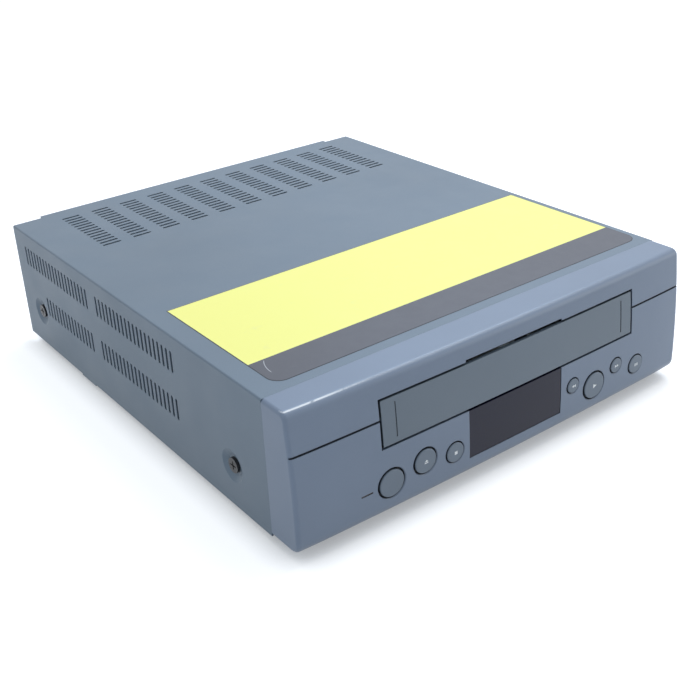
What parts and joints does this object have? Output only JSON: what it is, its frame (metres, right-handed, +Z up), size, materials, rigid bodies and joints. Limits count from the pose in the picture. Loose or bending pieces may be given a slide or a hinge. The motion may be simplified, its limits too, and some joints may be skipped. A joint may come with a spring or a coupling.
{
  "type": "vhs video cassette player",
  "caption": "Compact front-loading video cassette player with a folded steel cover, bowed plastic front, hinged cassette flap, dark window, round buttons and a complete tape deck inside.",
  "frame": {"origin": "middle of the footprint, on the surface that the feet stand on", "axes": "+X to the viewer's right seen from the front, -Y out of the front, +Z up"},
  "size_m": [0.322, 0.3766, 0.0962],
  "materials": {
    "cover_paint": "fine satin baked paint, blue-grey",
    "bezel_plastic": "fine-textured moulded plastic, blue-grey",
    "flap_plastic": "fine-textured moulded plastic, blue-grey",
    "button_plastic": "smooth moulded plastic, blue-grey",
    "window_plastic": "clear dark smoked plastic",
    "light_plastic": "dark translucent light pipe",
    "label_film": "printed adhesive film, yellow with a grey band",
    "foot_rubber": "black rubber",
    "screw_black": "black oxidised steel",
    "zinc_steel": "zinc-plated sheet steel",
    "bright_steel": "bright turned steel",
    "drum_aluminium": "turned aluminium",
    "chrome_pin": "polished hard chrome",
    "brass_bush": "sintered bronze",
    "black_plastic": "black moulded plastic",
    "white_plastic": "natural acetal",
    "board_green": "printed circuit board",
    "board_brown": "paper-phenolic circuit board",
    "display_glass": "fluorescent display",
    "belt_rubber": "flat rubber",
    "roller_rubber": "ground rubber",
    "core_steel": "varnished laminations"
  },
  "bodies": {
    "case": {"top_cover": "cover_paint", "front_bezel": "bezel_plastic", "bottom_chassis": "zinc_steel", "rear_panel": "zinc_steel", "feet": "foot_rubber", "cover_screws": "screw_black", "display_window": "window_plastic", "standby_light": "light_plastic", "display_module": "display_glass", "front_board": "board_brown", "button_switches": "black_plastic", "top_label": "label_film", "scart_socket": "black_plastic", "phono_sockets": "black_plastic", "mains_inlet": "black_plastic", "main_board": "board_brown", "board_components": "black_plastic", "power_transformer": "core_steel", "shield_can": "bright_steel", "deck_plate": "zinc_steel", "deck_posts": "bright_steel", "left_bracket": "zinc_steel", "right_bracket": "zinc_steel", "bridge_plate": "zinc_steel", "drum_base": "drum_aluminium", "lower_drum": "drum_aluminium", "erase_head": "bright_steel", "audio_head": "bright_steel", "reel_spindles": "chrome_pin", "capstan_bearing": "brass_bush", "capstan_stator": "board_green", "drive_belt": "belt_rubber", "loading_motor": "bright_steel"},
    "cassette_door": {"cassette_door": "flap_plastic"},
    "power_button": {"power_button": "button_plastic"},
    "eject_button": {"eject_button": "button_plastic"},
    "stop_button": {"stop_button": "button_plastic"},
    "rewind_button": {"rewind_button": "button_plastic"},
    "play_button": {"play_button": "button_plastic"},
    "fast_forward_button": {"fast_forward_button": "button_plastic"},
    "pause_button": {"pause_button": "button_plastic"},
    "tray_sliders": {"tray_sliders": "zinc_steel"},
    "cassette_tray": {"cassette_tray": "bright_steel"},
    "upper_drum": {"upper_drum": "drum_aluminium", "video_heads": "brass_bush"},
    "supply_reel_table": {"supply_reel_table": "black_plastic"},
    "take_up_reel_table": {"take_up_reel_table": "black_plastic"},
    "capstan_rotor": {"capstan_rotor": "chrome_pin"},
    "clutch_wheel": {"clutch_wheel": "white_plastic"},
    "idler_arm": {"idler_arm": "bright_steel"},
    "idler_wheel": {"idler_wheel": "roller_rubber"},
    "cam_gear": {"cam_gear": "white_plastic"},
    "motor_pinion": {"motor_pinion": "white_plastic"},
    "supply_guide": {"supply_guide": "chrome_pin"},
    "take_up_guide": {"take_up_guide": "chrome_pin"},
    "supply_roller": {"supply_roller": "chrome_pin"},
    "take_up_roller": {"take_up_roller": "chrome_pin"},
    "pinch_arm": {"pinch_arm": "bright_steel"},
    "pinch_roller": {"pinch_roller": "roller_rubber"},
    "tension_arm": {"tension_arm": "bright_steel"}
  },
  "joints": [
    {"name": "door_hinge", "type": "hinge", "parent": "case", "child": "cassette_door", "pos_m": [0.0048, -0.1798, 0.0812], "axis": [1, 0, 0], "range_deg": [0, 94], "stiffness_Nm_per_rad": 0.004},
    {"name": "power_press", "type": "slide", "parent": "case", "child": "power_button", "axis": [0, 1, 0], "range_m": [0, 0.0012], "stiffness_N_per_m": 300},
    {"name": "eject_press", "type": "slide", "parent": "case", "child": "eject_button", "axis": [0, 1, 0], "range_m": [0, 0.0012], "stiffness_N_per_m": 300},
    {"name": "stop_press", "type": "slide", "parent": "case", "child": "stop_button", "axis": [0, 1, 0], "range_m": [0, 0.0012], "stiffness_N_per_m": 300},
    {"name": "rewind_press", "type": "slide", "parent": "case", "child": "rewind_button", "axis": [0, 1, 0], "range_m": [0, 0.0012], "stiffness_N_per_m": 300},
    {"name": "play_press", "type": "slide", "parent": "case", "child": "play_button", "axis": [0, 1, 0], "range_m": [0, 0.0012], "stiffness_N_per_m": 300},
    {"name": "fast_forward_press", "type": "slide", "parent": "case", "child": "fast_forward_button", "axis": [0, 1, 0], "range_m": [0, 0.0012], "stiffness_N_per_m": 300},
    {"name": "pause_press", "type": "slide", "parent": "case", "child": "pause_button", "axis": [0, 1, 0], "range_m": [0, 0.0012], "stiffness_N_per_m": 300},
    {"name": "tray_slide", "type": "slide", "parent": "case", "child": "tray_sliders", "axis": [0, 1, 0], "range_m": [-0.1, 0]},
    {"name": "tray_drop", "type": "slide", "parent": "tray_sliders", "child": "cassette_tray", "axis": [0, 0, -1], "range_m": [0, 0.015]},
    {"name": "drum_spin", "type": "hinge", "parent": "case", "child": "upper_drum", "pos_m": [-0.0032, 0.05528, 0.0362], "axis": [-0.1045, 0, 0.9945], "continuous": true},
    {"name": "supply_reel_spin", "type": "hinge", "parent": "case", "child": "supply_reel_table", "pos_m": [-0.0412, -0.04272, 0.0312], "axis": [0, 0, 1], "continuous": true},
    {"name": "take_up_reel_spin", "type": "hinge", "parent": "case", "child": "take_up_reel_table", "pos_m": [0.0508, -0.04272, 0.0312], "axis": [0, 0, 1], "continuous": true},
    {"name": "capstan_spin", "type": "hinge", "parent": "case", "child": "capstan_rotor", "pos_m": [0.0668, 0.01728, 0.0312], "axis": [0, 0, 1], "continuous": true},
    {"name": "clutch_spin", "type": "hinge", "parent": "case", "child": "clutch_wheel", "pos_m": [0.0048, -0.02272, 0.0312], "axis": [0, 0, 1], "continuous": true},
    {"name": "idler_swing", "type": "hinge", "parent": "case", "child": "idler_arm", "pos_m": [0.0048, -0.02272, 0.0312], "axis": [0, 0, 1], "range_deg": [-23.5, 23.5]},
    {"name": "idler_spin", "type": "hinge", "parent": "idler_arm", "child": "idler_wheel", "pos_m": [0.0048, -0.04522, 0.0312], "axis": [0, 0, 1], "continuous": true},
    {"name": "cam_turn", "type": "hinge", "parent": "case", "child": "cam_gear", "pos_m": [-0.0772, 0.06328, 0.0312], "axis": [0, 0, 1], "range_deg": [0, 150]},
    {"name": "pinion_spin", "type": "hinge", "parent": "case", "child": "motor_pinion", "pos_m": [-0.06235, 0.089, 0.0312], "axis": [0, 0, 1], "continuous": true},
    {"name": "supply_guide_slide", "type": "slide", "parent": "case", "child": "supply_guide", "axis": [-0.1961, 0.9806, 0], "range_m": [0, 0.05611]},
    {"name": "take_up_guide_slide", "type": "slide", "parent": "case", "child": "take_up_guide", "axis": [0.1615, 0.9869, 0], "range_m": [0, 0.05575]},
    {"name": "supply_roller_spin", "type": "hinge", "parent": "supply_guide", "child": "supply_roller", "pos_m": [-0.0312, -0.00872, 0.0312], "axis": [0, 0, 1], "continuous": true},
    {"name": "take_up_roller_spin", "type": "hinge", "parent": "take_up_guide", "child": "take_up_roller", "pos_m": [0.0268, -0.00872, 0.0312], "axis": [0, 0, 1], "continuous": true},
    {"name": "pinch_swing", "type": "hinge", "parent": "case", "child": "pinch_arm", "pos_m": [0.0928, 0.03728, 0.0312], "axis": [0, 0, 1], "range_deg": [0, 30]},
    {"name": "pinch_roller_spin", "type": "hinge", "parent": "pinch_arm", "child": "pinch_roller", "pos_m": [0.06808, 0.0358, 0.0312], "axis": [0, 0, 1], "continuous": true},
    {"name": "tension_swing", "type": "hinge", "parent": "case", "child": "tension_arm", "pos_m": [-0.0832, -0.01872, 0.0312], "axis": [0, 0, 1], "range_deg": [0, 20], "stiffness_Nm_per_rad": 0.02}
  ],
  "couplings": [
    {"joint": "clutch_spin", "follows": "capstan_spin", "ratio": 0.66667},
    {"joint": "idler_spin", "follows": "capstan_spin", "ratio": -0.45455},
    {"joint": "pinion_spin", "follows": "cam_turn", "ratio": -4.2857},
    {"joint": "supply_guide_slide", "follows": "cam_turn", "m_per_rad": 0.021425},
    {"joint": "take_up_guide_slide", "follows": "cam_turn", "m_per_rad": 0.021288},
    {"joint": "pinch_swing", "follows": "cam_turn", "ratio": 0.2}
  ]
}
